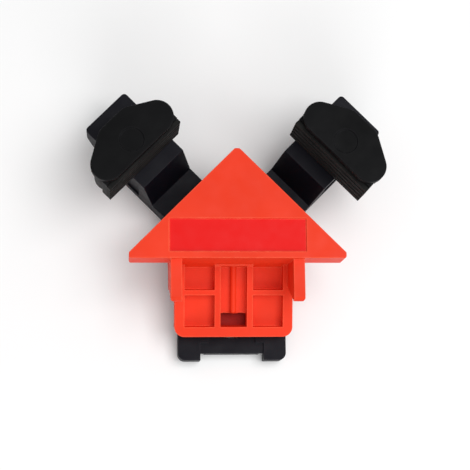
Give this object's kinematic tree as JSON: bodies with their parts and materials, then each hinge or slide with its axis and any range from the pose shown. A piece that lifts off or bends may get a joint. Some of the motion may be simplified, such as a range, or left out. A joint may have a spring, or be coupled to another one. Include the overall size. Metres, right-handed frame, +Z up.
{
  "type": "spring corner clamp",
  "caption": "Hand-squeezed spring corner clamp: a red lever with a right-angled wedge hinged on a black forked base, and swivel jaws that press strips of work against the wedge.",
  "frame": {"origin": "on the base's flat underside, straight below the middle of the hinge pin", "axes": "+X along the hinge pin to the right arm, +Y to the corner that is clamped, +Z up out of the base"},
  "size_m": [0.1008, 0.0899, 0.046],
  "materials": {
    "red_plastic": "moulded, satin",
    "black_plastic": "moulded, fine matte grain",
    "black_rubber": "matte, grooved",
    "steel": "bright zinc"
  },
  "bodies": {
    "base": {"lower_lever": "black_plastic", "hinge_pin": "steel", "hinge_retainer": "steel", "torsion_spring": "steel", "left_pivot_washer": "steel", "right_pivot_washer": "steel"},
    "lever": {"upper_lever": "red_plastic"},
    "left_jaw_body": {"left_jaw": "black_plastic", "left_jaw_pad": "black_rubber", "left_pivot_pin": "steel", "left_pivot_retainer": "steel"},
    "right_jaw_body": {"right_jaw": "black_plastic", "right_jaw_pad": "black_rubber", "right_pivot_pin": "steel", "right_pivot_retainer": "steel"}
  },
  "joints": [
    {"name": "lever_hinge", "type": "hinge", "parent": "base", "child": "lever", "pos_m": [0, 0, 0.01], "axis": [1, 0, 0], "range_deg": [-32, 2.2], "stiffness_Nm_per_rad": 0.45, "springref_deg": -68.75, "deforming": ["torsion_spring"]},
    {"name": "left_jaw_swivel", "type": "hinge", "parent": "base", "child": "left_jaw_body", "pos_m": [-0.03514, 0.03035, 0.0245], "axis": [0, 0, 1], "range_deg": [-15, 15]},
    {"name": "right_jaw_swivel", "type": "hinge", "parent": "base", "child": "right_jaw_body", "pos_m": [0.03514, 0.03035, 0.0245], "axis": [0, 0, 1], "range_deg": [-15, 15]}
  ]
}
